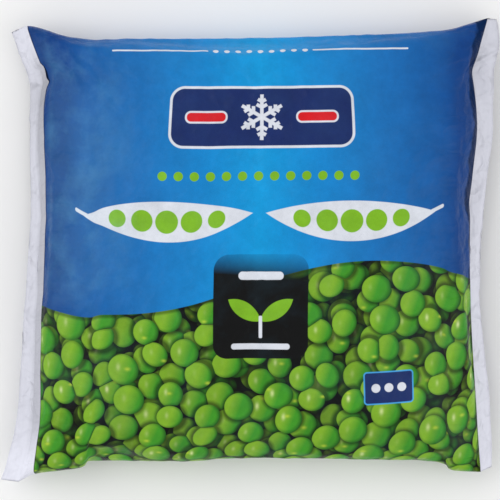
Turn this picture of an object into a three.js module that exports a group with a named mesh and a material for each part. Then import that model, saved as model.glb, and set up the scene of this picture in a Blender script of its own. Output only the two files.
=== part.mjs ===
// A sealed pillow bag of frozen peas, lying on its back with the printed front up.
// One tube of film runs from left to right. It turns over at the top and bottom edges, and both ends
// are pressed flat into a seal, so that the corners stand out as ears and the filled middle pulls in.
// Millimetres. X is the bag's width, Y its height as printed, Z up from the table it lies on.
import * as THREE from 'three';

// Driving sizes
const SEAL_HEIGHT = 17; // height of the two end seals above the table
const CROWN_HEIGHT = 50; // height of the middle of the front, before its lumps
const BACK_DEPTH = 22; // how far the back would hang below the seals if no table held it up
const SEAL_WIDTH = 10.7; // width of the sealed strip at each end
const SEAL_THICKNESS = 0.8;
const SEAL_WAVE = { height: 1.1, across: 1.4, shift: 4 }; // how the seals wave up and down
const PLEAT_DEPTH = 1.3; // depth of the folds that run in from the end seals
const PLEAT_REACH = 26; // how far in from a seal those folds fade out
const PLEAT_COUNT = 4.6; // folds side by side along one seal
const PLEAT_DRIFT = { folds: 0.35, across: 0.8 }; // how far the folds wander from even places
const PLEAT_SHIFT = 1.7; // turns the right seal's folds against the left seal's, in radians

// Broad lumps of the heap of peas: the height of each, how often it repeats along the bag and across
// it, and its phase in radians
const LUMPS = [
  { height: 0.7, along: 2.1, across: 1.75, phase: 1.4 },
  { height: 0.45, along: 3.7, across: 3, phase: 0.3 },
];

// Fineness of the surface
const STEPS_ALONG = 78; // from seal to seal
const STEPS_ACROSS = 33; // from the bottom edge to the top edge, on each side
const STEPS_SEAL = 2;
const CROWD_ALONG = 0.75; // how much closer the steps lie near the seals, from 0 to 1
const CROWD_ACROSS = 0.7; // the same near the top and bottom edges

// How full the bag is: the rise from a seal, and the roundness of the top and bottom edges
const END_SHARPNESS = 3.2;
const END_FULLNESS = 0.6;
const EDGE_FULLNESS = 0.72;

// Each edge of the bag seen from above, as a smooth curve through the few points that give its form
const edge = (points) => new THREE.SplineCurve(points.map(([x, y]) => new THREE.Vector2(x, y)));
const leftSeal = edge([
  [-129.5, -130], [-122.5, -98], [-119.5, -34], [-117.6, 29],
  [-119, 61], [-117.5, 94], [-121.5, 104], [-128.5, 124],
]);
const leftRim = edge([
  [-139.8, -129.2], [-131.6, -98], [-126.6, -34], [-122.9, 29],
  [-124.6, 61], [-124, 94], [-129, 107], [-134, 122.5],
]);
const rightSeal = edge([
  [129, -124], [127, -92], [123.5, -29], [123.8, 29],
  [127, 66], [126, 96], [128.6, 112], [133, 129.8],
]);
const rightRim = edge([
  [135.6, -122], [135.2, -93], [129.4, -29], [131.6, 29],
  [136.6, 66], [137, 98], [139.8, 117], [138.6, 130],
]);
const topFold = edge([
  [-128.5, 124], [-121, 124.8], [-95, 118.6], [-61, 117.9], [3, 118.4],
  [68, 120.4], [106, 123], [120, 126], [133, 129.8],
]);
const bottomFold = edge([
  [-129.5, -130], [-119, -125.4], [-95, -122], [-84, -118], [-34, -118],
  [2, -115.9], [96, -118], [113, -123], [129, -124],
]);

// A point of the bag's outline filled in between its four edges (a Coons patch): s runs from the left
// seal to the right one, t from the bottom edge to the top one.
function plan(s, t) {
  const left = leftSeal.getPointAt(t);
  const right = rightSeal.getPointAt(t);
  const bottom = bottomFold.getPointAt(s);
  const top = topFold.getPointAt(s);
  const corners = leftSeal.getPointAt(0).multiplyScalar((1 - s) * (1 - t))
    .add(rightSeal.getPointAt(0).multiplyScalar(s * (1 - t)))
    .add(leftSeal.getPointAt(1).multiplyScalar((1 - s) * t))
    .add(rightSeal.getPointAt(1).multiplyScalar(s * t));
  return left.multiplyScalar(1 - s).add(right.multiplyScalar(s))
    .add(bottom.multiplyScalar(1 - t)).add(top.multiplyScalar(t)).sub(corners);
}

const TURN = 2 * Math.PI;
const hump = (k) => Math.sin(Math.PI * k); // 0 at both ends and 1 in the middle

// How full the bag is at (s, t), from 0 on its edges to 1 in the middle
function fullness(s, t) {
  const fromMiddle = Math.abs(2 * s - 1);
  const alongEnds = Math.pow(Math.max(0, 1 - Math.pow(fromMiddle, END_SHARPNESS)), END_FULLNESS);
  const acrossFolds = Math.pow(Math.max(0, 4 * t * (1 - t)), EDGE_FULLNESS / 2);
  return alongEnds * acrossFolds;
}

// Folds that run in from an end seal, side by side, uneven in width, and fade out over their reach
function pleat(s, t) {
  const inFromSeal = Math.min(s, 1 - s) * (rightSeal.getPointAt(t).x - leftSeal.getPointAt(t).x);
  const shift = s < 0.5 ? 0 : PLEAT_SHIFT;
  const drift = PLEAT_DRIFT.folds * Math.sin(TURN * PLEAT_DRIFT.across * t + shift);
  const wave = Math.sin(TURN * (PLEAT_COUNT * t + drift) + shift);
  return PLEAT_DEPTH * wave * hump(Math.min(1, inFromSeal / PLEAT_REACH)) * hump(t);
}

// Broad soft lumps of the heap inside
function lump(s, t) {
  const heights = LUMPS.map(({ height, along, across, phase }) => (
    height * Math.sin(TURN * along * s + phase) * Math.cos(TURN * across * t + phase)
  ));
  return heights.reduce((sum, height) => sum + height) * hump(s) * hump(t);
}

// The height of the seal's middle plane, a little wavy along the seal
function sealPlane(s, t) {
  const wave = Math.sin(TURN * SEAL_WAVE.across * t + SEAL_WAVE.shift * s);
  return SEAL_HEIGHT + SEAL_WAVE.height * wave * hump(t);
}

function front(s, t) {
  const rise = (CROWN_HEIGHT - SEAL_HEIGHT) * fullness(s, t) + pleat(s, t) + lump(s, t);
  return sealPlane(s, t) + SEAL_THICKNESS / 2 + Math.max(0, rise);
}

function back(s, t) {
  const drop = BACK_DEPTH * fullness(s, t) - pleat(s, t);
  return Math.max(0, sealPlane(s, t) - SEAL_THICKNESS / 2 - Math.max(0, drop));
}

// A point of a sealed strip: w runs from the seal line (0) to the cut rim (1). The strip keeps its
// width, so where it looks narrow from above it hangs down.
function sealStrip(seal, rim, s, w, t, side) {
  const inner = seal.getPointAt(t);
  const outer = rim.getPointAt(t);
  const reach = Math.min(inner.distanceTo(outer), SEAL_WIDTH);
  const droop = Math.sqrt(SEAL_WIDTH ** 2 - reach ** 2);
  const point = inner.lerp(outer, w);
  return [point.x, point.y, sealPlane(s, t) - w * droop + (side * SEAL_THICKNESS) / 2];
}

// Even steps, drawn together towards both ends by the given share
const crowd = (k, share) => (1 - share) * k + (share * (1 - Math.cos(Math.PI * k))) / 2;

// One ring of points round the tube: over the front from the bottom edge to the top one, and back
function ring(point) {
  const points = [];
  for (let i = 0; i <= STEPS_ACROSS; i++) points.push(point(crowd(i / STEPS_ACROSS, CROWD_ACROSS), 1));
  for (let i = STEPS_ACROSS; i >= 0; i--) points.push(point(crowd(i / STEPS_ACROSS, CROWD_ACROSS), -1));
  return points;
}

function bagRings() {
  const rings = [];
  for (let i = 0; i < STEPS_SEAL; i++) {
    rings.push(ring((t, side) => sealStrip(leftSeal, leftRim, 0, 1 - i / STEPS_SEAL, t, side)));
  }
  for (let i = 0; i <= STEPS_ALONG; i++) {
    const s = crowd(i / STEPS_ALONG, CROWD_ALONG);
    rings.push(ring((t, side) => {
      const at = plan(s, t);
      return [at.x, at.y, side > 0 ? front(s, t) : back(s, t)];
    }));
  }
  for (let i = 1; i <= STEPS_SEAL; i++) {
    rings.push(ring((t, side) => sealStrip(rightSeal, rightRim, 1, i / STEPS_SEAL, t, side)));
  }
  return rings;
}

// The rings joined into one closed skin, with the two cut rims shut between front and back
function bagGeometry() {
  const rings = bagRings();
  const around = rings[0].length;
  const faces = [];
  const quad = (a, b, c, d) => faces.push(a, b, c, a, c, d);
  for (let i = 0; i + 1 < rings.length; i++) {
    for (let j = 0; j < around; j++) {
      const next = (j + 1) % around;
      quad(i * around + j, (i + 1) * around + j, (i + 1) * around + next, i * around + next);
    }
  }
  const last = (rings.length - 1) * around;
  for (let j = 0; j < STEPS_ACROSS; j++) {
    const opposite = around - 1 - j;
    quad(j, j + 1, opposite - 1, opposite);
    quad(last + opposite, last + opposite - 1, last + j + 1, last + j);
  }
  const geometry = new THREE.BufferGeometry();
  geometry.setAttribute('position', new THREE.Float32BufferAttribute(rings.flat(2), 3));
  geometry.setIndex(faces);
  geometry.computeBoundingBox();
  const { min, max } = geometry.boundingBox;
  geometry.translate(-(min.x + max.x) / 2, -(min.y + max.y) / 2, -min.z);
  geometry.computeVertexNormals();
  return geometry;
}

const film = new THREE.MeshStandardMaterial({ color: 0x2a74b8, roughness: 0.4, metalness: 0 });

const bag = new THREE.Mesh(bagGeometry(), film);
bag.name = 'pea_bag';

const group = new THREE.Group();
group.add(bag);

export default group;
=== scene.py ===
# A sealed pillow bag of frozen peas, lying on its back with the printed front up, on a pale floor.
# X is the bag's width, Y its height as printed, and Z up from the floor. Metres.
import math

import bpy
import numpy as np
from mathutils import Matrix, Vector


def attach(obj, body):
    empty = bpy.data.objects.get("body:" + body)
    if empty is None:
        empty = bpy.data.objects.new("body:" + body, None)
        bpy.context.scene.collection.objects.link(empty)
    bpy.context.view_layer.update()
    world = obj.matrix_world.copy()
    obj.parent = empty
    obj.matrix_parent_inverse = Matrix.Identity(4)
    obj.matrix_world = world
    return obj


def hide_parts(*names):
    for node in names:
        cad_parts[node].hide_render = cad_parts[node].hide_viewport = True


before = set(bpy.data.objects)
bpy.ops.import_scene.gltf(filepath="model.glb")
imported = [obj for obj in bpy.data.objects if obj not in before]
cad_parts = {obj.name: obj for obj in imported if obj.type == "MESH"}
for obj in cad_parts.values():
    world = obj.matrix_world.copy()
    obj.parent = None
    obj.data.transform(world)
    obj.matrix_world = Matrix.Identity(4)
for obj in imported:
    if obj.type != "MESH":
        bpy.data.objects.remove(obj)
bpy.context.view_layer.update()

# The camera
# It looks straight down on the bag from two metres, as the photograph does: the bag's width fills the
# picture, and one pixel is a little over half a millimetre at the height of the end seals.
PICTURE_SIDE = 500  # pixels
PIXEL = 0.56e-3  # metres on the bag
EYE_HEIGHT = 2.0
SEAL_HEIGHT = 0.017  # height of the end seals above the floor
SENSOR = 36.0  # millimetres

camera_data = bpy.data.cameras.new("camera")
camera_data.sensor_width = SENSOR
camera_data.lens = SENSOR * (EYE_HEIGHT - SEAL_HEIGHT) / (PICTURE_SIDE * PIXEL)
camera = bpy.data.objects.new("camera", camera_data)
camera.location = (0, 0, EYE_HEIGHT)
bpy.context.scene.collection.objects.link(camera)
bpy.context.scene.camera = camera
bpy.context.scene.view_settings.view_transform = "Standard"

# The floor and the light
# A white sheet of matt board, lit by a large soft box up and to the left, a weaker one to the right and
# an even pale surround, so that the film's satin shine shows as broad soft patches on its slopes.
FLOOR_SIDE = 6.0
FLOOR_WHITE = (0.93, 0.93, 0.93, 1)
SURROUND = 0.72


def soft_box(name, place, size, watts):
    """A square area light of that size in metres, turned to face the middle of the bag."""
    data = bpy.data.lights.new(name, "AREA")
    data.size = size
    data.energy = watts
    lamp = bpy.data.objects.new(name, data)
    lamp.location = place
    lamp.rotation_euler = Vector(place).to_track_quat("Z", "Y").to_euler()
    bpy.context.scene.collection.objects.link(lamp)


soft_box("key", (-1.3, 0.5, 1.2), 1.8, 13)
soft_box("fill", (1.4, -0.5, 1.1), 1.4, 7)

world = bpy.data.worlds.new("surround")
world.use_nodes = True
world.node_tree.nodes["Background"].inputs["Color"].default_value = (1, 1, 1, 1)
world.node_tree.nodes["Background"].inputs["Strength"].default_value = SURROUND
bpy.context.scene.world = world

half = FLOOR_SIDE / 2
floor_mesh = bpy.data.meshes.new("floor")
floor_corners = [(-half, -half, 0), (half, -half, 0), (half, half, 0), (-half, half, 0)]
floor_mesh.from_pydata(floor_corners, [], [(0, 1, 2, 3)])
floor = bpy.data.objects.new("floor", floor_mesh)
bpy.context.scene.collection.objects.link(floor)
board = bpy.data.materials.new("matt_board")
board.use_nodes = True
board.node_tree.nodes["Principled BSDF"].inputs["Base Color"].default_value = FLOOR_WHITE
board.node_tree.nodes["Principled BSDF"].inputs["Roughness"].default_value = 0.9
floor_mesh.materials.append(board)

# The film bag
# One tube of thin printed polyethylene film. It is folded over along its top and bottom edges, sealed
# flat across its left and right ends, and blown up like a pillow by the loose frozen peas inside.
MM = 0.001
FILM_WIDTH = 262.5 * MM  # from seal to seal, as the film lies flat
FILM_HEIGHT = 256 * MM  # from fold to fold, as the film lies flat
SEAL_WIDTH = 10.7 * MM
FILM_THICKNESS = 0.3 * MM  # of the two sealed layers together, drawn a little thicker than real
CROWN_HEIGHT = 50 * MM
BACK_DEPTH = 22 * MM  # how far the back would hang below the seals if no floor held it up
END_SHARPNESS = 3.2
END_FULLNESS = 0.6
EDGE_FULLNESS = 0.72
CELL = 2.6 * MM  # of the simulated film
FIN_ROWS = 4


def smooth_edge(points, steps=60):
    """A smooth curve through points in millimetres, as a function from a share of its length to a place.
    Between two points it is the cubic whose slope at each is half the step from the point before to the
    point after, with the end points counted twice."""
    held = np.array([points[0], *points, points[-1]]) * MM
    count = len(points) - 1
    before, start, stop, after = (held[i : i + count, None] for i in range(4))
    k = np.linspace(0, 1, steps, endpoint=False)[:, None]
    slope_in = (stop - before) / 2
    slope_out = (after - start) / 2
    bend = 2 * (start - stop) + slope_in + slope_out
    turn = 3 * (stop - start) - 2 * slope_in - slope_out
    curve = (((bend * k + turn) * k + slope_in) * k + start).reshape(-1, 2)
    curve = np.vstack([curve, held[-1]])
    run = np.r_[0, np.linalg.norm(np.diff(curve, axis=0), axis=1).cumsum()]
    return lambda share: np.stack([np.interp(share * run[-1], run, side) for side in curve.T], -1)


left_seal = smooth_edge([
    (-129.5, -130), (-122.5, -98), (-119.5, -34), (-117.6, 29),
    (-119, 61), (-117.5, 94), (-121.5, 104), (-128.5, 124),
])
left_rim = smooth_edge([
    (-139.8, -129.2), (-131.6, -98), (-126.6, -34), (-122.9, 29),
    (-124.6, 61), (-124, 94), (-129, 107), (-134, 122.5),
])
right_seal = smooth_edge([
    (129, -124), (127, -92), (123.5, -29), (123.8, 29),
    (127, 66), (126, 96), (128.6, 112), (133, 129.8),
])
right_rim = smooth_edge([
    (135.6, -122), (135.2, -93), (129.4, -29), (131.6, 29),
    (136.6, 66), (137, 98), (139.8, 117), (138.6, 130),
])
top_fold = smooth_edge([
    (-128.5, 124), (-121, 124.8), (-95, 118.6), (-61, 117.9), (3, 118.4),
    (68, 120.4), (106, 123), (120, 126), (133, 129.8),
])
bottom_fold = smooth_edge([
    (-129.5, -130), (-119, -125.4), (-95, -122), (-84, -118), (-34, -118),
    (2, -115.9), (96, -118), (113, -123), (129, -124),
])


def plan(s, t):
    """Where the bag's film lies seen from above: the outline filled in between its four edges, as the
    sum of the two blends between opposite edges less the blend of the four corners."""
    s_, t_ = s[..., None], t[..., None]
    lower, upper = np.zeros(1), np.ones(1)
    left_corners = left_seal(lower) * (1 - t_) + left_seal(upper) * t_
    right_corners = right_seal(lower) * (1 - t_) + right_seal(upper) * t_
    between_seals = left_seal(t) * (1 - s_) + right_seal(t) * s_
    between_folds = bottom_fold(s) * (1 - t_) + top_fold(s) * t_
    return between_seals + between_folds - left_corners * (1 - s_) - right_corners * s_


def fullness(s, t):
    """How full the bag is, from 0 on its edges to 1 in the middle: a rise from the seals times a rounder
    one from the folds."""
    from_seals = (1 - np.abs(2 * s - 1) ** END_SHARPNESS).clip(0) ** END_FULLNESS
    from_folds = (4 * t * (1 - t)).clip(0) ** (EDGE_FULLNESS / 2)
    return from_seals * from_folds


def front(s, t):
    """The place of the front: the plan, raised above the seals by the fullness."""
    return np.concatenate([plan(s, t), (CROWN_HEIGHT - SEAL_HEIGHT) * fullness(s, t)[..., None]], -1)


def back(s, t):
    """The place of the back: the plan, sunk below the seals by the fullness."""
    return np.concatenate([plan(s, t), -BACK_DEPTH * fullness(s, t)[..., None]], -1)


def even_shares(path, count, fine=4000):
    """The shares of the way along a path between which equal lengths of film lie."""
    share = np.linspace(0, 1, fine)
    run = np.r_[0, np.linalg.norm(np.diff(path(share), axis=0), axis=1).cumsum()]
    return np.interp(np.linspace(0, run[-1], count + 1), run, share)


across = round(FILM_WIDTH / CELL)
upward = round(FILM_HEIGHT / CELL)
film_s, film_t = np.meshgrid(np.linspace(0, 1, across + 1), np.linspace(0, 1, upward + 1), indexing="ij")


def laid_even(side):
    """One side of the bag with the film's cells at even spacing over it. Near an edge the even spacing
    gives way to the edge's own, so that front and back meet there."""
    even_s = even_shares(lambda share: side(share, np.full_like(share, 0.5)), across)
    even_t = even_shares(lambda share: side(np.full_like(share, 0.5), share), upward)
    s = film_s + (even_s[:, None] - film_s) * np.sqrt(4 * film_t * (1 - film_t))
    t = film_t + (even_t[None, :] - film_t) * np.sqrt(4 * film_s * (1 - film_s))
    return side(s, t)


# The tube as rings: each runs over the front from the bottom fold to the top one, and back behind
tube = np.concatenate([laid_even(front), laid_even(back)[:, -2:0:-1]], 1)
flat_x = (film_s - 0.5) * FILM_WIDTH
flat_y = (film_t - 0.5) * FILM_HEIGHT
flat = np.stack([flat_x, flat_y, np.zeros_like(flat_x)], -1)
flat = np.concatenate([flat, flat[:, -2:0:-1]], 1)


def fin(seal, rim, outward):
    """A sealed strip from the seal line to its cut rim, as it lies and as it is flat. It keeps its width,
    so where it looks narrow from above it hangs down."""
    w = np.linspace(0, 1, FIN_ROWS + 1)[1:, None, None]
    t = film_t[0]
    reach = np.linalg.norm(rim(t) - seal(t), axis=1).clip(max=SEAL_WIDTH)
    droop = np.sqrt(SEAL_WIDTH**2 - reach**2)
    place = seal(t) * (1 - w) + rim(t) * w
    lies = np.concatenate([place, -w * droop[None, :, None]], -1)
    x = outward * (FILM_WIDTH / 2 + SEAL_WIDTH * w[..., 0]) + 0 * t
    cut = np.stack([x, flat_y[:1] + 0 * x, 0 * x], -1)
    return lies, cut


fins = [fin(left_seal, left_rim, -1), fin(right_seal, right_rim, 1)]


def quads(grid, wrap=False):
    """The four-cornered faces between the neighbours of a grid of vertex numbers."""
    if wrap:
        grid = np.concatenate([grid, grid[:, :1]], 1)
    return np.stack([grid[:-1, :-1], grid[1:, :-1], grid[1:, 1:], grid[:-1, 1:]], -1).reshape(-1, 4)


def new_mesh(name, places, faces):
    """A mesh of those vertices and four-cornered faces."""
    mesh = bpy.data.meshes.new(name)
    mesh.from_pydata(places.reshape(-1, 3).tolist(), [], faces.tolist())
    mesh.update()
    return mesh


# The film's filling, simulated: the flat film takes the pillow's shape and volume under an even pressure
FRAMES = 24
FILM_STRETCH = 1.02
FILLED_VOLUME = 2.34e-3

# At both seals the back's places are the front's own, so each is numbered once
number = np.arange(tube[..., 0].size).reshape(tube.shape[:2])
number[[0, -1], upward + 1 :] = number[[0, -1], upward - 1 : 0 : -1]
used, number = np.unique(number, return_inverse=True)
number = number.reshape(tube.shape[:2])
fin_size = FIN_ROWS * (upward + 1)
fin_numbers = [np.arange(first, first + fin_size).reshape(FIN_ROWS, -1)
               for first in (len(used), len(used) + fin_size)]
places = np.vstack([tube.reshape(-1, 3)[used], fins[0][0].reshape(-1, 3), fins[1][0].reshape(-1, 3)])
rests = np.vstack([flat.reshape(-1, 3)[used], fins[0][1].reshape(-1, 3), fins[1][1].reshape(-1, 3)])
fin_grids = [np.vstack([number[end, : upward + 1][None], rows]) for end, rows in zip((0, -1), fin_numbers)]
faces = np.vstack([quads(number, wrap=True), quads(fin_grids[0])[:, ::-1], quads(fin_grids[1])])


def filled(places):
    """The film's places once it is filled: a cloth of that mesh, which wants to be flat film a little larger
    than it is, pressed outwards all over the tube towards the given volume."""
    cloth_mesh = new_mesh("cloth", places, faces)
    cloth = bpy.data.objects.new("cloth", cloth_mesh)
    bpy.context.scene.collection.objects.link(cloth)
    cloth.shape_key_add(name="Basis")
    flat_key = cloth.shape_key_add(name="flat")
    flat_key.data.foreach_set("co", (rests * FILM_STRETCH).astype(np.float32).ravel())
    flat_key.value = 0
    pressed = cloth.vertex_groups.new(name="pressed")
    pressed.add(range(len(used)), 1.0, "REPLACE")
    modifier = cloth.modifiers.new("cloth", "CLOTH")
    film = modifier.settings
    film.rest_shape_key = flat_key
    film.quality = 6
    film.mass = 0.002
    film.air_damping = 3
    film.tension_stiffness = film.compression_stiffness = 80
    film.shear_stiffness = 60
    film.bending_stiffness = 0.01
    film.tension_damping = film.compression_damping = film.shear_damping = 20
    film.bending_damping = 0.5
    film.use_pressure = film.use_pressure_volume = True
    film.uniform_pressure_force = 0
    film.target_volume = FILLED_VOLUME
    film.pressure_factor = 100
    film.vertex_group_pressure = "pressed"
    film.effector_weights.gravity = 0
    modifier.collision_settings.use_collision = False
    modifier.collision_settings.use_self_collision = False
    modifier.point_cache.frame_end = FRAMES
    for step in range(1, FRAMES + 1):
        bpy.context.scene.frame_set(step)
    shaped = cloth.evaluated_get(bpy.context.evaluated_depsgraph_get()).data
    result = np.empty(len(places) * 3, np.float32)
    shaped.vertices.foreach_get("co", result)
    bpy.data.objects.remove(cloth)
    bpy.data.meshes.remove(cloth_mesh)
    bpy.context.scene.frame_set(1)
    return result.reshape(-1, 3).astype(float)


places = filled(places)
tube = places[number]
fins = [places[grid] for grid in fin_grids]

# The outline
# The filling pulls the film's edges in a little further than they should be, so the whole bag is eased
# out to its outline again. Only the broad run of each edge is moved, and its small waves stay.
EASE_REACH = 5  # cells of film over which an edge is smoothed


def broad(values):
    """The broad run of a row of values: each replaced by the bell-weighted mean of its neighbours."""
    spread = np.arange(-3 * EASE_REACH, 3 * EASE_REACH + 1)
    weight = np.exp(-((spread / EASE_REACH) ** 2) / 2)
    return np.convolve(np.pad(values, 3 * EASE_REACH, "edge"), weight / weight.sum(), "valid")


def short_of(edge, along, line):
    """How far a line of places falls short of an edge, across it, as a function of the way along it."""
    wanted = edge(np.linspace(0, 1, 400))
    missing = np.interp(line[:, along], wanted[:, along], wanted[:, 1 - along]) - line[:, 1 - along]
    return lambda way: np.interp(way, line[:, along], broad(missing))


def farthest(rings, sign):
    """The line along the bag of the places farthest up, or down, on each ring."""
    pick = np.argmax(sign * rings[..., 1], 1)
    return np.take_along_axis(rings, pick[:, None, None], 1)[:, 0]


left_line = tube[0, : upward + 1]
right_line = tube[-1, : upward + 1]
seal_short = [short_of(left_seal, 1, left_line), short_of(right_seal, 1, right_line)]
rim_short = [short_of(left_rim, 1, fins[0][-1]), short_of(right_rim, 1, fins[1][-1])]
fold_short = [short_of(bottom_fold, 0, farthest(tube, -1)), short_of(top_fold, 0, farthest(tube, 1))]
share_up = np.concatenate([np.linspace(0, 1, upward + 1), np.linspace(1, 0, upward + 1)[1:-1]])


def eased(grid, s, t, sides):
    """The places moved by what the edges are short of, shared out by how near each edge is."""
    x, y, z = np.moveaxis(grid, -1, 0)
    moved_x = x + (1 - s) * sides[0](y) + s * sides[1](y)
    moved_y = y + (1 - t) * fold_short[0](x) + t * fold_short[1](x)
    return np.stack([moved_x, moved_y, z], -1)


fin_share = np.linspace(0, 1, FIN_ROWS + 1)[:, None]
fins = [eased(fins[end], fin_share, film_t[0], (seal_short[end], rim_short[end])) for end in (0, 1)]
tube = eased(tube, np.linspace(0, 1, across + 1)[:, None], share_up, seal_short)

# Finer film: each cell of the simulated tube is parted in four


def halved(grid, axis, wrap=False):
    """The grid with a new line of places midway between each two along an axis: nine sixteenths of both
    neighbours less one sixteenth of the next ones out."""
    grid = np.moveaxis(grid, axis, 0)
    if wrap:
        held = np.concatenate([grid[-1:], grid, grid[:2]])
    else:
        held = np.concatenate([2 * grid[:1] - grid[1:2], grid, 2 * grid[-1:] - grid[-2:-1]])
    between = (9 * (held[1:-2] + held[2:-1]) - held[:-3] - held[3:]) / 16
    finer = np.empty((len(grid) + len(between), *grid.shape[1:]))
    finer[::2] = grid
    finer[1::2] = between
    return np.moveaxis(finer, 0, axis)


tube = halved(halved(tube, 0), 1, wrap=True)
fins = [halved(grid, 1) for grid in fins]
tube[..., 2] += SEAL_HEIGHT
for grid in fins:
    grid[..., 2] += SEAL_HEIGHT
across *= 2
upward *= 2
ring = 2 * upward
film_x = ((np.arange(across + 1) / across - 0.5) * FILM_WIDTH)[:, None]
# The height on the film runs on over the top fold and down the back
film_y = ((np.arange(ring) / upward - 0.5) * FILM_HEIGHT)[None, :]


# Pinches, where the left and the right seal's line is drawn in a little: the height up the bag, how far in
# it is drawn and how far up and down that reaches
PINCHES = (
    [(93 * MM, 0.9 * MM, 4 * MM), (18 * MM, 0.8 * MM, 6 * MM), (-24 * MM, 0.7 * MM, 7 * MM)],
    [(100 * MM, 1.6 * MM, 7 * MM), (27 * MM, 1.0 * MM, 8 * MM)],
)
PINCH_REACH = 12 * MM  # how far in from the seal the pinches fade out
PINCH_AT_RIM = 0.3  # how much of a pinch is left at the cut rim


def drawn_in(y, end):
    """How far an end's pinches draw the film in at each height: for each pinch its depth over one plus the
    squared distance from it, in its own reach, to the power of three halves."""
    return sum(depth / (1 + ((y - height) / reach) ** 2) ** 1.5 for height, depth, reach in PINCHES[end])


run_in = FILM_WIDTH * np.linspace(0, 1, across + 1)[:, None]
tube[..., 0] += drawn_in(tube[..., 1], 0) * np.exp(-run_in / PINCH_REACH)
tube[..., 0] -= drawn_in(tube[..., 1], 1) * np.exp(-run_in[::-1] / PINCH_REACH)
for end, inward in ((0, 1), (1, -1)):
    fins[end][..., 0] += inward * drawn_in(fins[end][..., 1], end) * (1 - (1 - PINCH_AT_RIM) * fin_share)


def outward(grid):
    """The direction straight out of the film at each place of the tube, from the runs of its two lines."""
    along = np.gradient(grid, axis=0)
    round_it = np.roll(grid, -1, 1) - np.roll(grid, 1, 1)
    normal = np.cross(along, round_it)
    return normal / np.linalg.norm(normal, axis=-1, keepdims=True).clip(1e-12)


# Relief: the peas inside press small bulges into the film, over the broad lumps of their heap, and the
# back has the lap where the tube was joined.
PEA_PITCH = 8.6 * MM
PEA_BULGE = 0.38 * MM
PEA_REACH = 3.1 * MM
PEA_STRAY = 0.7  # the part of its cell in which a bulge may lie
PEAS_DRAWN = 128  # cells along and up before the same bulges come again
SEAL_CLEAR = 6 * MM  # how far from a seal the first bulges show
SEAL_FADE = 14 * MM  # and over what length they grow to their full height
LAP_WIDTH = 12 * MM
LAP_STEP = 0.4 * MM
LAP_EDGE = 1.0 * MM
LUMPS = [(0.7 * MM, 2.1, 1.75, 1.4), (0.45 * MM, 3.7, 3, 0.3)]  # height, waves along and up, phase
TURN = 2 * math.pi


def bulges(x, y, pitch, reach, seed):
    """Bell-shaped bulges of uneven height, one for each cell of a square lattice with its point shifted
    at random inside the cell: at each place the sum over its own cell and the eight cells round it."""
    column = np.floor(x / pitch).astype(int)
    row = np.floor(y / pitch).astype(int)
    draw = np.random.default_rng(seed).uniform(size=(PEAS_DRAWN, PEAS_DRAWN, 3))
    inset = (1 - PEA_STRAY) / 2
    total = np.zeros(np.broadcast(x, y).shape)
    for side in (-1, 0, 1):
        for rise in (-1, 0, 1):
            own = draw[(column + side) % PEAS_DRAWN, (row + rise) % PEAS_DRAWN]
            shift_x, shift_y, size = np.moveaxis(own, -1, 0)
            off_x = x - (column + side + inset + PEA_STRAY * shift_x) * pitch
            off_y = y - (row + rise + inset + PEA_STRAY * shift_y) * pitch
            total += (0.5 + 0.5 * size) * np.exp(-(off_x**2 + off_y**2) / reach**2)
    return total


share_s = np.linspace(0, 1, across + 1)[:, None]
share_t = np.concatenate([np.linspace(0, 1, upward + 1), np.linspace(1, 0, upward + 1)[1:-1]])[None, :]
from_seal = FILM_WIDTH * np.minimum(share_s, 1 - share_s)
on_front = (np.arange(ring) <= upward)[None, :]
touching = np.clip((from_seal - SEAL_CLEAR) / SEAL_FADE, 0, 1)
relief = PEA_BULGE * touching * bulges(film_x, film_y, PEA_PITCH, PEA_REACH, seed=5)
for height, waves_along, waves_up, phase in LUMPS:
    wave = np.sin(TURN * waves_along * share_s + phase) * np.cos(TURN * waves_up * share_t + phase)
    relief = relief + height * wave * np.sin(math.pi * share_s) * np.sin(math.pi * share_t) * on_front
past_lap = film_y - FILM_HEIGHT  # height below the back's middle line
lap = np.clip(0.5 + past_lap / LAP_EDGE, 0, 1) * np.clip(0.5 + (LAP_WIDTH - past_lap) / LAP_EDGE, 0, 1)
tube += outward(tube) * (relief + LAP_STEP * lap)[..., None]

# The floor holds the back up: it is pressed flat, with a soft turn where it leaves the floor. The lap
# touches the floor, and the rest of the back lies one step of the lap above it
REST_SOFTNESS = 0.9 * MM


def rested(z, level):
    """Heights held up to a level, by the soft maximum of the two."""
    return level + REST_SOFTNESS * np.logaddexp(0, (z - level) / REST_SOFTNESS)


tube[..., 2] = rested(tube[..., 2], LAP_STEP * (1 - lap))
for grid in fins:
    grid[..., 2] = rested(grid[..., 2], 0)

# The sealed ends: the two layers of film part by the film's thickness, and the tube is closed round them
PARTING_REACH = 3 * MM  # how far in from the seal the parting fades out


def fin_ring(line, normal):
    """A ring of the tube squeezed flat onto a line: the front's places above it and the back's below,
    both on it at the folds."""
    lift = np.full(len(line), FILM_THICKNESS / 2)
    lift[[0, -1]] = 0
    upper = line + normal * lift[:, None]
    lower = line - normal * lift[:, None]
    return np.concatenate([upper, lower[-2:0:-1]])


def fin_rings(grid, flip):
    """The rings of a sealed strip, from its seal line outwards."""
    normal = np.cross(np.gradient(grid, axis=0), np.gradient(grid, axis=1)) * flip
    normal /= np.linalg.norm(normal, axis=-1, keepdims=True)
    return [fin_ring(line, up) for line, up in zip(grid, normal)]


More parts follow.
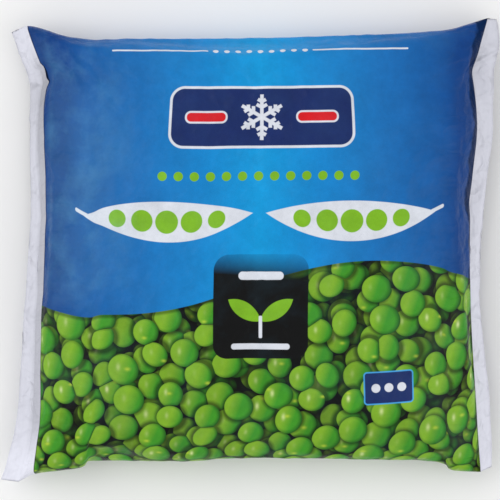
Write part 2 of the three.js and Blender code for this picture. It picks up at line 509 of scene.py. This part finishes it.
left_rings = fin_rings(fins[0], -1)
right_rings = fin_rings(fins[1], 1)
parting = FILM_THICKNESS / 2 * np.exp(-from_seal / PARTING_REACH) * np.where(on_front, 1, -1)
tube[..., 2] += parting
rings = np.concatenate([left_rings[:0:-1], tube, right_rings[1:]])
fin_x = FILM_WIDTH / 2 + SEAL_WIDTH * np.linspace(0, 1, FIN_ROWS + 1)[1:]
ring_x = np.concatenate([-fin_x[::-1], film_x[:, 0], fin_x])
grid_number = np.arange(rings[..., 0].size).reshape(rings.shape[:2])
walls = quads(grid_number, wrap=True)
halfway = grid_number[:, : upward + 1]
behind = np.concatenate([grid_number[:, :1], grid_number[:, : upward - 1 : -1]], 1)
left_end, right_end = (
    np.stack([halfway[end, :-1], halfway[end, 1:], behind[end, 1:], behind[end, :-1]], -1) for end in (0, -1)
)
# The cut rims' first and last faces meet a fold, so one corner comes twice in them and is dropped
rim_faces = [list(dict.fromkeys(face)) for face in np.vstack([left_end, right_end[:, ::-1]]).tolist()]

film_mesh = bpy.data.meshes.new("printed_film_bag")
film_mesh.from_pydata(rings.reshape(-1, 3).tolist(), [], walls.tolist() + rim_faces)
film_mesh.polygons.foreach_set("use_smooth", np.ones(len(film_mesh.polygons), bool))
film_mesh.update()
bag = bpy.data.objects.new("printed_film_bag", film_mesh)
bpy.context.scene.collection.objects.link(bag)

# The film's own map, in metres: across from the middle between the seals, and up from the middle of the
# front, over the top fold and down the back to its middle line, or under the bottom fold up to that line
map_u = np.broadcast_to(ring_x[:, None], (len(ring_x), ring + 1))
map_v = np.broadcast_to((np.arange(ring + 1) / upward - 0.5) * FILM_HEIGHT, map_u.shape)
wall_u = quads(map_u)
wall_v = quads(map_v).reshape(len(ring_x) - 1, ring, 4).copy()
wall_v[:, 3 * upward // 2 :] -= 2 * FILM_HEIGHT
rim_corners = np.concatenate(rim_faces)
rim_u = ring_x[rim_corners // ring]
rim_v = (share_t[0, rim_corners % ring] - 0.5) * FILM_HEIGHT
film_map = np.stack([np.r_[wall_u.ravel(), rim_u], np.r_[wall_v.ravel(), rim_v]], -1)
film_mesh.uv_layers.new(name="film").data.foreach_set("uv", film_map.astype(np.float32).ravel())


# The print
# Fields of ink on the white film. Lengths inside it are in millimetres, x from the middle between the
# seals and y up from the middle of the front.
PRINT_LEFT = -120.7
PRINT_RIGHT = 131.25
INK_EDGE = 0.35  # over which an edge of ink fades


def srgb(red, green, blue):
    """A colour as a screen gives it, in 255ths, turned into the linear one that a shader takes."""
    share = np.array([red, green, blue]) / 255
    linear = np.where(share <= 0.04045, share / 12.92, ((share + 0.055) / 1.055) ** 2.4)
    return (*linear.tolist(), 1)


class Wire:
    """A number that changes over the film, as it leaves one of the print's nodes. Sums and products of
    wires are Math nodes, so that a formula reads as it would on paper."""

    def __init__(self, socket):
        self.socket = socket
        self.tree = socket.id_data

    def math(self, operation, *others, clamp=False):
        node = self.tree.nodes.new("ShaderNodeMath")
        node.operation = operation
        node.use_clamp = clamp
        for slot, value in zip(node.inputs, (self, *others)):
            feed(slot, value)
        return Wire(node.outputs[0])

    def __add__(self, other):
        return self.math("ADD", other)

    def __sub__(self, other):
        return self.math("SUBTRACT", other)

    def __mul__(self, other):
        return self.math("MULTIPLY", other)

    def __truediv__(self, other):
        return self.math("DIVIDE", other)

    def __neg__(self):
        return self.math("MULTIPLY", -1)

    def least(self, other):
        return self.math("MINIMUM", other)

    def most(self, other):
        return self.math("MAXIMUM", other)

    def size(self):
        return self.math("ABSOLUTE")

    def root(self):
        return self.math("SQRT")

    def held(self):
        """Held between 0 and 1."""
        return self.math("ADD", 0, clamp=True)


def feed(slot, value):
    """Gives an input a wire, another node's output or a fixed value."""
    if isinstance(value, Wire):
        value = value.socket
    if isinstance(value, bpy.types.NodeSocket):
        slot.id_data.links.new(value, slot)
    else:
        slot.default_value = value


def shade_node(tree, kind, inputs, **settings):
    """A new node of that kind with its inputs fed."""
    node = tree.nodes.new(kind)
    for name, value in settings.items():
        setattr(node, name, value)
    for name, value in inputs.items():
        feed(node.inputs[name], value)
    return node


def parts(tree, socket):
    """The three numbers of a place or of a colour."""
    return [Wire(output) for output in shade_node(tree, "ShaderNodeSeparateXYZ", {0: socket}).outputs]


def joined(tree, x, y):
    """A place on the film as one vector."""
    return shade_node(tree, "ShaderNodeCombineXYZ", {0: x, 1: y}).outputs[0]


def noise(tree, place, scale, detail, **more):
    """Soft noise at a place, which mostly keeps near one half, and its coloured form."""
    inputs = {"Vector": place, "Scale": scale, "Detail": detail, **more}
    outputs = shade_node(tree, "ShaderNodeTexNoise", inputs).outputs
    return Wire(outputs[0]), outputs[1]


def over(tree, under, ink, cover):
    """Ink laid over what is under it, as far as it covers."""
    return shade_node(tree, "ShaderNodeMix", {0: cover, 6: under, 7: ink}, data_type="RGBA").outputs[2]


def dimmed(tree, colour, by):
    """A colour times a number."""
    return shade_node(tree, "ShaderNodeVectorMath", {0: colour, "Scale": by}, operation="SCALE").outputs[0]


def inked(inside):
    """How far ink covers, from how far inside its edge a place lies."""
    return (inside / INK_EDGE + 0.5).held()


def panel(x, y, middle, half, corner):
    """How far inside a rectangle with round corners a place lies: the corner's radius less the distance
    from the rectangle that is smaller by it all round."""
    past_x = (x - middle[0]).size() - (half[0] - corner)
    past_y = (y - middle[1]).size() - (half[1] - corner)
    wide, high = past_x.most(0), past_y.most(0)
    return -((wide * wide + high * high).root() + past_x.most(past_y).least(0)) + corner


def disc(x, y, middle, radius):
    """How far inside a disc a place lies."""
    off_x, off_y = x - middle[0], y - middle[1]
    return -(off_x * off_x + off_y * off_y).root() + radius


def row(x, middle, pitch, count):
    """The way along from the nearest of a row of evenly spaced middles."""
    last = (count - 1) / 2
    place = (x - middle) / pitch + last
    nearest = place.math("ROUND").most(0).least(count - 1)
    return (place - nearest) * pitch


def pod(x, y, middle, half):
    """How far inside a pointed oval a place lies: what two equal discs share, one above the other."""
    radius = (half[0] ** 2 + half[1] ** 2) / (2 * half[1])
    off_x = x - middle[0]
    off_y = (y - middle[1]).size() + (radius - half[1])
    return -(off_x * off_x + off_y * off_y).root() + radius


def snowflake(x, y, middle, reach, stroke):
    """How far inside a six-armed snowflake a place lies. Each arm is a straight stroke with two pairs of
    short side strokes, and every place is turned onto the arm nearest to it."""
    off_x, off_y = x - middle[0], y - middle[1]
    away = (off_x * off_x + off_y * off_y).root()
    arm = TURN / 6
    angle = off_y.math("ARCTAN2", off_x)
    turned = (angle / arm).math("FRACT") * arm
    folded = (turned - arm / 2).size()
    along = away * folded.math("COSINE")
    aside = away * folded.math("SINE")
    inside = (-aside + stroke).least(-along + reach)
    for start, run in ((0.42, 0.26), (0.68, 0.2)):
        from_start = along - start * reach
        forward = from_start * math.cos(arm) + aside * math.sin(arm)
        sideways = (aside * math.cos(arm) - from_start * math.sin(arm)).size()
        twig = (-sideways + stroke).least(-forward + run * reach).least(forward + stroke)
        inside = inside.most(twig)
    return inside


# The printed heap of peas, in layers from the deepest to the top one
PEA_DEEP = srgb(24, 72, 20)
PEA_GREEN = srgb(62, 146, 36)
PEA_FRESH = srgb(126, 173, 42)
PEA_GLINT = srgb(206, 222, 150)
PEA_TIP = srgb(182, 205, 62)
HEAP_GAP = srgb(8, 14, 7)
PEA_SMALLEST = 6.9
PEA_SCATTER = 0.6
# turn of the layer's lattice, its shift, the pitch, the largest radius and how bright it is
PEA_LAYERS = [
    (1.2, 81.0, 17.0, 8.6, 0.18),
    (0.74, 33.0, 17.0, 8.6, 0.34),
    (2.75, 57.0, 17.5, 8.8, 0.6),
    (1.93, 19.0, 17.5, 8.9, 0.86),
    (0.35, 5.0, 17.8, 9.2, 1.0),
]


def pea_layer(tree, x, y, turn, shift, pitch, largest, bright, under):
    """Peas printed over what is under them. They lie round the points of a square lattice that is turned,
    and each shifted at random. A pea is squeezed along a direction of its own, is a little yellower
    towards the light on its left, darkens towards its rim, and dims what lies under it close by."""
    c, s = math.cos(turn), math.sin(turn)
    along = x * c + y * s + shift
    across = y * c - x * s + shift * 1.7
    lattice = {"Vector": joined(tree, along, across), "Scale": 1 / pitch, "Randomness": PEA_SCATTER}
    near, room, edge = (
        shade_node(tree, "ShaderNodeTexVoronoi", lattice, feature=feature, voronoi_dimensions="2D")
        for feature in ("F1", "N_SPHERE_RADIUS", "DISTANCE_TO_EDGE")
    )
    middle_x, middle_y, _ = parts(tree, near.outputs["Position"])
    draw_a, draw_b, draw_c = parts(tree, near.outputs["Color"])
    off_u = along - middle_x
    off_v = across - middle_y

    # Its form: as large as the room round its middle allows, squeezed, and a little egg-shaped
    room_left = (Wire(room.outputs["Radius"]) * (pitch * 1.08)).most(PEA_SMALLEST)
    radius = room_left.least(draw_c * (largest * 0.15) + largest * 0.85)
    ball_x = (off_u * c - off_v * s) / radius
    ball_y = (off_u * s + off_v * c) / radius
    squeeze = ball_x * (draw_a * 1.1 - 0.55) + ball_y * (draw_b * 1.1 - 0.55)
    egg = (ball_x * (draw_b - 0.5) + ball_y * (draw_a - 0.5)) * 0.5 + 1
    far = (ball_x * ball_x + ball_y * ball_y + squeeze * squeeze) * egg
    to_edge = Wire(edge.outputs["Distance"]) * (pitch * 2 / 7.0)
    rim = (-far + 1).least(to_edge)
    cover = (rim * 14).held()

    # Its colour: green, fresher towards the light, deep at the rim, with a glint and on some a pale tip
    side = ball_y * 0.3 - ball_x * 0.9
    fresh = (side * 1.35 + draw_b * 0.9 + 0.05).held()
    tone = over(tree, PEA_GREEN, PEA_FRESH, fresh)
    shade = (rim * 1.5 + side * 0.45 + 0.38).held()
    tone = over(tree, PEA_DEEP, tone, shade)
    glint_x = ball_x + 0.36
    glint_y = ball_y - 0.12
    glint = ((glint_x * glint_x * 3.2 + glint_y * glint_y) * -20).math("EXPONENT") * (draw_c * draw_a * 1.5)
    tone = over(tree, tone, PEA_GLINT, glint)
    tip_x = ball_x - (draw_b - 0.5) * 1.5
    tip_y = ball_y - (draw_c - 0.5) * 1.5
    tip = ((tip_x * tip_x * 1.2 + tip_y * tip_y * 3) * -26).math("EXPONENT")
    tone = over(tree, tone, PEA_TIP, tip * draw_a.math("GREATER_THAN", 0.62) * 0.75)

    # Its shade on the peas under it
    nearby = ((Wire(near.outputs["Distance"]) * pitch - 6.8) / 2.9).most(0.3).least(1)
    return over(tree, dimmed(tree, under, nearby), dimmed(tree, tone, bright), cover)


def pea_heap(tree, x, y):
    """All the layers of peas, one over the other."""
    colour = HEAP_GAP[:3]
    for layer in PEA_LAYERS:
        colour = pea_layer(tree, x, y, *layer, under=colour)
    return colour


# The blue field: how far from its brightest line each blue lies
BLUE_MIDDLE = 2.6
BLUE_REACH = 140
BLUES = [
    (0, srgb(8, 151, 216)), (32, srgb(15, 130, 201)), (64, srgb(22, 109, 180)),
    (96, srgb(14, 85, 156)), (109, srgb(8, 64, 133)), (131, srgb(6, 56, 122)),
]
# The heap's upper edge is one soft wave, and it ends on the back below the bottom fold
WAVE = {"level": -21.2, "height": 14.5, "length": 282, "peak": 64}
HEAP_END = -160
HEAP_SHADOW = 2.4  # how far down from the blue field its edge shades the heap
WHITE_INK = srgb(216, 220, 229)
NAVY = srgb(22, 42, 98)
LIGHT_BLUE = srgb(70, 160, 225)
LEAF_GREEN = srgb(124, 180, 36)
BERRY_RED = srgb(208, 24, 32)
BADGE_BLACK = srgb(6, 7, 8)
FILM_WHITE = srgb(212, 213, 224)
# The colour of the painted sheen, a reflection of the soft boxes painted onto the print
PAINTED_SHEEN = srgb(115, 188, 225)


def bell(way, reach):
    """One in the middle and less to either side: one over one plus the squared way in its own reach, to the
    power of three halves."""
    share = way / reach
    return (share * share + 1).math("POWER", -1.5)


def rising(way, start, length):
    """Nothing up to the start of a way and one from a length further on, with an even rise between."""
    return ((way - start) / length).held()


def left_edge(y):
    """Where the print's left edge lies at each height. It runs straight at first, leans out below the
    notch, turns in at the notch, where the seal is pinched, leans out again to the ear, and is straight
    on the back."""
    below_notch = rising(y, 60, 18) * 3.2
    past_notch = rising(y, 92, 4) * 0.4
    to_ear = rising(y, 104, 24) * 3
    on_front = rising(-y, -170, 40)
    return bell(y - 90, 2) * 2.2 - (below_notch + past_notch + to_ear) * on_front + PRINT_LEFT


def end_shade(tree, x, y):
    """How much light the film keeps near its ends, from 0 to 1. A thin dark line runs along both edges of
    the print, wider at the left notch, and an uneven band at the right, where the film is steep."""
    uneven = noise(tree, joined(tree, x, y), 0.07, 4)[0]
    left = (x - left_edge(y) - bell(y - 94, 4) * 1.5) * 0.9 + 0.12
    from_right = -x + PRINT_RIGHT
    line = from_right * 0.5 + 0.12
    width = bell(y - 103, 14) * 2 + bell(y - 27, 7) * 2.5 + rising(y, -40, 60) * 4 + uneven * 13 - 4.6
    band = ((from_right - width) * 0.3 + 0.35).most(0.35)
    return left.least(line).least(band).most(0.12).held()


def field_and_heap(tree, x, y):
    """The blue field, brightest along its middle line, and the heap of peas below the wave."""
    ramp = shade_node(tree, "ShaderNodeValToRGB", {0: (x - BLUE_MIDDLE).size() / BLUE_REACH})
    stops = ramp.color_ramp.elements
    while len(stops) < len(BLUES):
        stops.new(0.5)
    for stop, (away, colour) in zip(stops, BLUES):
        stop.position = away / BLUE_REACH
        stop.color = colour
    crest = ((x - WAVE["peak"]) * (TURN / WAVE["length"])).math("COSINE") * WAVE["height"] + WAVE["level"]
    below = (crest - y).least(y - HEAP_END - (x / 46).math("SINE") * 5)
    heap = dimmed(tree, pea_heap(tree, x, y), (below / HEAP_SHADOW).most(0.45).least(1))
    return over(tree, ramp.outputs[0], heap, inked(below))


def top_line(tree, x, y, colour):
    """A thin line near the top fold: fine dots between two rules."""
    middle_x, line_y = 3, 109.5
    dots = disc(row(x, middle_x, 6, 9), y, (0, line_y), 1.5)
    rules = panel((x - middle_x).size(), y, (54, line_y), (26, 0.55), 0.5)
    return over(tree, colour, WHITE_INK, inked(dots.most(rules)))


def snow_panel(tree, x, y, colour):
    """A navy panel with a white keyline, and on it a snowflake between two short red bars."""
    middle = (2.5, 71)
    field = panel(x, y, middle, (50, 17), 8)
    flake = snowflake(x, y, middle, 12.5, 0.95)
    bar = panel((x - middle[0]).size(), y, (30, middle[1]), (11.5, 3.4), 3.2)
    colour = over(tree, colour, WHITE_INK, inked(field))
    colour = over(tree, colour, NAVY, inked(field - 1.4))
    colour = over(tree, colour, WHITE_INK, inked(flake.most(bar)))
    return over(tree, colour, BERRY_RED, inked(bar - 1))


def pods(tree, x, y, colour):
    """A row of green dots, and two long white pods below it, bent a little like smiles, each with a row of
    green peas that are smaller towards its tips, and a short stalk."""
    dots = disc(row(x, 1.2, 8.6, 13), y, (0, 39), 2.5)
    half_long, half_high = 46, 10.8
    pod_x, pod_y = 49.5, 14.6  # how far a pod's middle lies from the line between both, and its height
    along_x = (x - 2.2).size() - pod_x
    to_tip = along_x / half_long
    bent_y = y - pod_y - to_tip * to_tip * 4.5
    husk = pod(along_x, bent_y, (0, 0), (half_long, half_high))
    stalk = panel(along_x, bent_y - (along_x - 42) * 0.25, (47, 0), (4, 1), 0.9)
    colour = over(tree, colour, WHITE_INK, inked(husk.most(stalk)))
    peas = disc(row(along_x, 0, 13.6, 5), bent_y, (0, 0), 6.2) - to_tip * to_tip * 4.4
    return over(tree, colour, LEAF_GREEN, inked(peas.most(dots)))


def badge(tree, x, y, colour):
    """A black badge whose top fades away, with a sprout of two leaves between two white bars."""
    middle_x = 3.6
    leaf_lean = 0.6
    black = inked(panel(x, y, (middle_x, -31), (25.2, 28), 8)) * rising(-y - x * 0.1, -1, 16)
    from_leaf_x, from_leaf_y = (x - middle_x).size() - 8.5, y + 33
    lean_cos, lean_sin = math.cos(leaf_lean), math.sin(leaf_lean)
    leaf_x = from_leaf_x * lean_cos + from_leaf_y * lean_sin
    leaf_y = from_leaf_y * lean_cos - from_leaf_x * lean_sin
    leaves = pod(leaf_x, leaf_y, (0, 0), (10.5, 4.2))
    stem = panel(x, y, (middle_x, -42), (0.9, 6), 0.6)
    lower_bar = panel(x, y, (middle_x, -52.5), (15.5, 1.6), 1.5)
    upper_bar = panel(x, y, (middle_x, -14.5), (12, 2.2), 2.1)
    colour = over(tree, colour, BADGE_BLACK, black)
    colour = over(tree, colour, LEAF_GREEN, inked(leaves))
    return over(tree, colour, WHITE_INK, inked(stem.most(lower_bar).most(upper_bar)))


def tag(tree, x, y, colour):
    """A small navy tag with a light blue keyline and three white dots, turned a little."""
    lean = math.radians(2.3)
    off_x, off_y = x - 72, y + 75
    tag_x = off_x * math.cos(lean) + off_y * math.sin(lean)
    tag_y = off_y * math.cos(lean) - off_x * math.sin(lean)
    field = panel(tag_x, tag_y, (0, 0), (13.5, 9), 2)
    colour = over(tree, colour, LIGHT_BLUE, inked(field))
    colour = over(tree, colour, NAVY, inked(field - 0.7))
    return over(tree, colour, WHITE_INK, inked(disc(row(tag_x, 0, 7, 3), tag_y, (0, 0), 2.4)))


def back_panels(tree, x, y, colour):
    """The back's print: a large white panel above its middle line and two smaller ones below, all with
    plain navy rules, and three green discs beside the large one's."""
    large_y, small_x, small_y = 192, 50, -210
    large = panel(x, y, (0, large_y), (90, 42), 6)
    small = panel(x.size(), y, (small_x, small_y), (38, 24), 6)
    upper_rules = panel(x - 14, row(y, large_y, 9, 8), (0, 0), (66, 0.9), 0.8)
    lower_rules = panel(x.size(), row(y, small_y, 8, 5), (small_x, 0), (31, 0.8), 0.7)
    marks = disc(x, row(y, large_y, 22, 3), (-70, 0), 7)
    colour = over(tree, colour, WHITE_INK, inked(large.most(small)))
    colour = over(tree, colour, NAVY, inked(upper_rules.most(lower_rules)))
    return over(tree, colour, LEAF_GREEN, inked(marks))


def with_painted_sheen(tree, x, y, colour):
    """A painted sheen, standing in for the soft boxes' reflection on the satin film: pale patches, faint all
    over the print and stronger over the left slope of the blue field and along the top fold, with an even
    painted sheen over the lower part of the left slope.
    """
    patch = noise(tree, joined(tree, x, y), 0.035, 6, Roughness=0.6, Distortion=0.15)[0]
    slope = rising(-x, 62, 26) * rising(x, -121, 6) * rising(y, -34, 16)
    ridge = rising(y, 96, 20) * 0.2
    broad_sheen = slope * rising(-y, -110, 40)
    sheen = (slope.most(ridge) * 0.11 + 0.015) * ((patch - 0.45) * 6).held() + broad_sheen * 0.07
    return over(tree, colour, PAINTED_SHEEN, sheen)


def bare_film(tree, x, y, cloud):
    """The unprinted margins: white film, a little cloudy and streaked along the seals. Painted shade makes
    it greyer just inside a seal than on the sealed strip, and at the left also at the notch. Painted light
    makes it bright at the left ears and lighter towards the right, where the strip lies in the bag's shadow.
    It is also a little darker towards the top."""
    streak = noise(tree, joined(tree, x * 0.4, y * 0.03), 1, 3)[0]
    at_left, at_right = x.math("LESS_THAN", 0), x.math("GREATER_THAN", 0)
    at_ear = rising(y.size(), 92, 24)
    # Painted shade just inside each seal and at the left notch, and painted light at the left ears
    left_painted_shade = rising(x, -134, 5) * (-at_ear + 1) * 0.27 + bell(y - 84, 12) * 0.1 - at_ear * 0.16
    right_painted_shade = rising(-x, -134, 4) * 0.08
    # Painted light: lighter towards the right; the streaks and clouds are the film's own
    tone = x * 0.0004 - y * 0.0005 + 0.92 + streak * 0.12 + cloud * 0.1
    tone = tone - left_painted_shade * at_left - right_painted_shade * at_right
    return dimmed(tree, FILM_WHITE[:3], tone)


def film_print(tree, x, y, shade):
    """The whole print's colour at each place of the film: its fields and figures, mottled, under a painted
    sheen, and darkened by painted shade at its ends and at the edges of the back's lap, between margins of
    bare film."""
    colour = field_and_heap(tree, x, y)
    for figure in (top_line, snow_panel, pods, badge, tag, back_panels):
        colour = figure(tree, x, y, colour)
    cloud = noise(tree, joined(tree, x, y), 0.045, 8, Roughness=0.78)[0]
    # The mottled print under a painted sheen of the soft boxes' reflection
    colour = with_painted_sheen(tree, x, y, dimmed(tree, colour, cloud * 0.8 + 0.6))
    lap_upper = FILM_HEIGHT / MM
    lap_lower = (FILM_HEIGHT - LAP_WIDTH) / MM
    lap_edge = (y - lap_upper).size().least((y + lap_upper).size()).least((y + lap_lower).size())
    # Painted shade at the film's ends, and in thin lines along the edges of the back's lap
    colour = dimmed(tree, colour, shade * (lap_edge * 0.9 + 0.55).held())
    margin = (x - left_edge(y)).least(-x + PRINT_RIGHT)
    return over(tree, bare_film(tree, x, y, cloud), colour, inked(margin))


def film_relief(tree, x, y):
    """The height of the film's own fine relief in millimetres: a soft crinkle all over, the facets of
    crumpled film, which are sharpest on the sealed strips, creases at the edges and a kink at the uppermost
    pinch of each seal."""
    place = joined(tree, x, y)
    crinkle = noise(tree, place, 0.16, 5)[0]
    bending = {0: noise(tree, place, 0.07, 2)[1], 1: (22, 22, 0), 2: place}
    bent = shade_node(tree, "ShaderNodeVectorMath", bending, operation="MULTIPLY_ADD").outputs[0]

    def facets(pitch):
        """Cones side by side, a pitch apart, that meet in sharp folds: the distance from the nearest tip."""
        tips = {"Vector": bent, "Scale": 1 / pitch}
        nearest = shade_node(tree, "ShaderNodeTexVoronoi", tips, voronoi_dimensions="2D")
        return Wire(nearest.outputs["Distance"]) * pitch

    def creases(along_x, along_y):
        """Sharp ridges, drawn out along one way of the film, from 0 to 1: where a soft noise crosses its
        middle value."""
        stretched = noise(tree, joined(tree, x * along_x, y * along_y), 1, 2, Distortion=0.6)[0]
        return (-(stretched - 0.5).size() * 2 + 1).math("POWER", 3)

    fold_y = FILM_HEIGHT / MM / 2
    on_bag = rising(-x.size(), -131, 3)
    near_end = rising(x.size(), 92, 30)
    near_fold = rising(-(y.size() - fold_y).size(), -26, 26) * on_bag
    crumple = (facets(19) + facets(8)) * (near_end * 0.11 + 0.03 - near_end * on_bag * 0.05)
    left_kink = (y - 91 + (x + 121) * 0.3) * x.math("LESS_THAN", 0)
    right_kink = (y - 101 - (x - 131) * 0.8) * x.math("GREATER_THAN", 0)
    across_kink = left_kink + right_kink
    kink = (across_kink * across_kink / -5).math("EXPONENT") * rising(x.size(), 118, 6)
    folds = creases(0.03, 0.17) * near_end * on_bag * 0.3 + creases(0.14, 0.028) * near_fold * 0.4
    return crinkle * 0.34 + crumple + folds + kink * 0.9


film_look = bpy.data.materials.new("printed_film")
film_look.use_nodes = True
film_tree = film_look.node_tree
film_shader = film_tree.nodes["Principled BSDF"]
film_place = shade_node(film_tree, "ShaderNodeUVMap", {}, uv_map="film").outputs[0]
place_x, place_y = (way / MM for way in parts(film_tree, film_place)[:2])
shade = end_shade(film_tree, place_x, place_y)
feed(film_shader.inputs["Base Color"], film_print(film_tree, place_x, place_y, shade))
relief_height = film_relief(film_tree, place_x, place_y)
bump = shade_node(film_tree, "ShaderNodeBump", {"Height": relief_height, "Distance": MM, "Strength": 1.0})
feed(film_shader.inputs["Normal"], bump.outputs[0])
film_shader.inputs["Roughness"].default_value = 0.38
feed(film_shader.inputs["Specular IOR Level"], shade * 0.15)
film_mesh.materials.append(film_look)
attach(bag, "root")
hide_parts("pea_bag")
